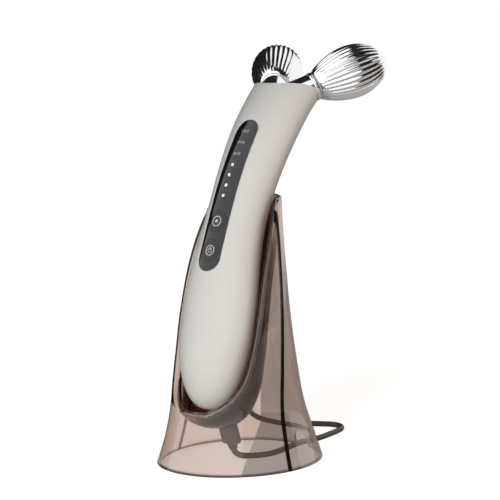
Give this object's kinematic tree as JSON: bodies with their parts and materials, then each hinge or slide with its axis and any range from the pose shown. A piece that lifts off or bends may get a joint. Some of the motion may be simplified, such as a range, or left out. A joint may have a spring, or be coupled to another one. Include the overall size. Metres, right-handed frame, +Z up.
{
  "type": "body slimming roller",
  "caption": "Handheld pulse massage roller for the body with two fluted metal rollers, standing in a smoked clear charging stand with a cable.",
  "frame": {"origin": "on the surface the stand stands on, below the middle of the whole object without its cable", "axes": "+Z up, the control panel faces -Y, the handle leans back towards +Y in the plane X = 0"},
  "size_m": [0.1845, 0.1797, 0.2507],
  "materials": {
    "shell": "satin champagne lacquer",
    "smoke": "clear smoked acrylic, polished",
    "seam": "dark bonded joint line",
    "plug_grip": "soft overmoulding",
    "cable": "smooth jacket",
    "tie": "plain strap",
    "window": "smooth dark window",
    "buttons": "satin dark caps",
    "chrome": "polished plating",
    "steel": "plain turned steel",
    "brass": "plain",
    "inner_plastic": "plain moulded",
    "core_plastic": "plain moulded",
    "board": "circuit board",
    "cell": "wrapped cell",
    "light": "light-emitting parts and clear guides"
  },
  "bodies": {
    "stand": {"stand_front": "smoke", "stand_rear": "smoke", "seam_strips": "seam", "cradle": "smoke", "charging_plug": "plug_grip", "plug_tip": "steel", "strain_relief": "plug_grip", "charging_cable": "cable", "cable_coil": "cable", "cable_tie": "tie", "cable_tail": "cable", "usb_plug": "plug_grip", "usb_shell": "steel"},
    "handle": {"front_shell": "shell", "rear_shell": "shell", "panel_rim": "chrome", "panel_window": "window", "level_lights": "light", "mode_lights": "light", "light_guides": "light", "main_board": "board", "button_switches": "inner_plastic", "pulse_transformer": "inner_plastic", "board_carrier": "inner_plastic", "battery_cell": "cell", "battery_tray": "inner_plastic", "charge_board": "board", "charge_socket": "steel", "case_screws": "steel", "head_block": "inner_plastic", "head_cap": "chrome", "contact_springs": "brass", "left_axle": "steel", "right_axle": "steel", "axle_clips": "steel", "left_collar": "chrome", "right_collar": "chrome"},
    "mode_button": {"mode_button": "buttons"},
    "power_button": {"power_button": "buttons"},
    "left_roller": {"left_roller": "chrome", "left_core": "core_plastic", "left_bushes": "brass"},
    "right_roller": {"right_roller": "chrome", "right_core": "core_plastic", "right_bushes": "brass"}
  },
  "joints": [
    {"name": "handle_lift", "type": "slide", "parent": "stand", "child": "handle", "axis": [0, -0.342, 0.9397], "range_m": [0, 0.06]},
    {"name": "mode_button_press", "type": "slide", "parent": "handle", "child": "mode_button", "axis": [0, 0.9199, -0.392], "range_m": [0, 0.0004], "stiffness_N_per_m": 600, "springref_m": -0.0005},
    {"name": "power_button_press", "type": "slide", "parent": "handle", "child": "power_button", "axis": [0, 0.9199, -0.392], "range_m": [0, 0.0004], "stiffness_N_per_m": 600, "springref_m": -0.0005},
    {"name": "left_roller_spin", "type": "hinge", "parent": "handle", "child": "left_roller", "pos_m": [0, 0.01157, 0.21425], "axis": [-0.5446, 0.7601, 0.3544], "continuous": true},
    {"name": "right_roller_spin", "type": "hinge", "parent": "handle", "child": "right_roller", "pos_m": [0, 0.01157, 0.21425], "axis": [0.5446, 0.7601, 0.3544], "continuous": true}
  ]
}
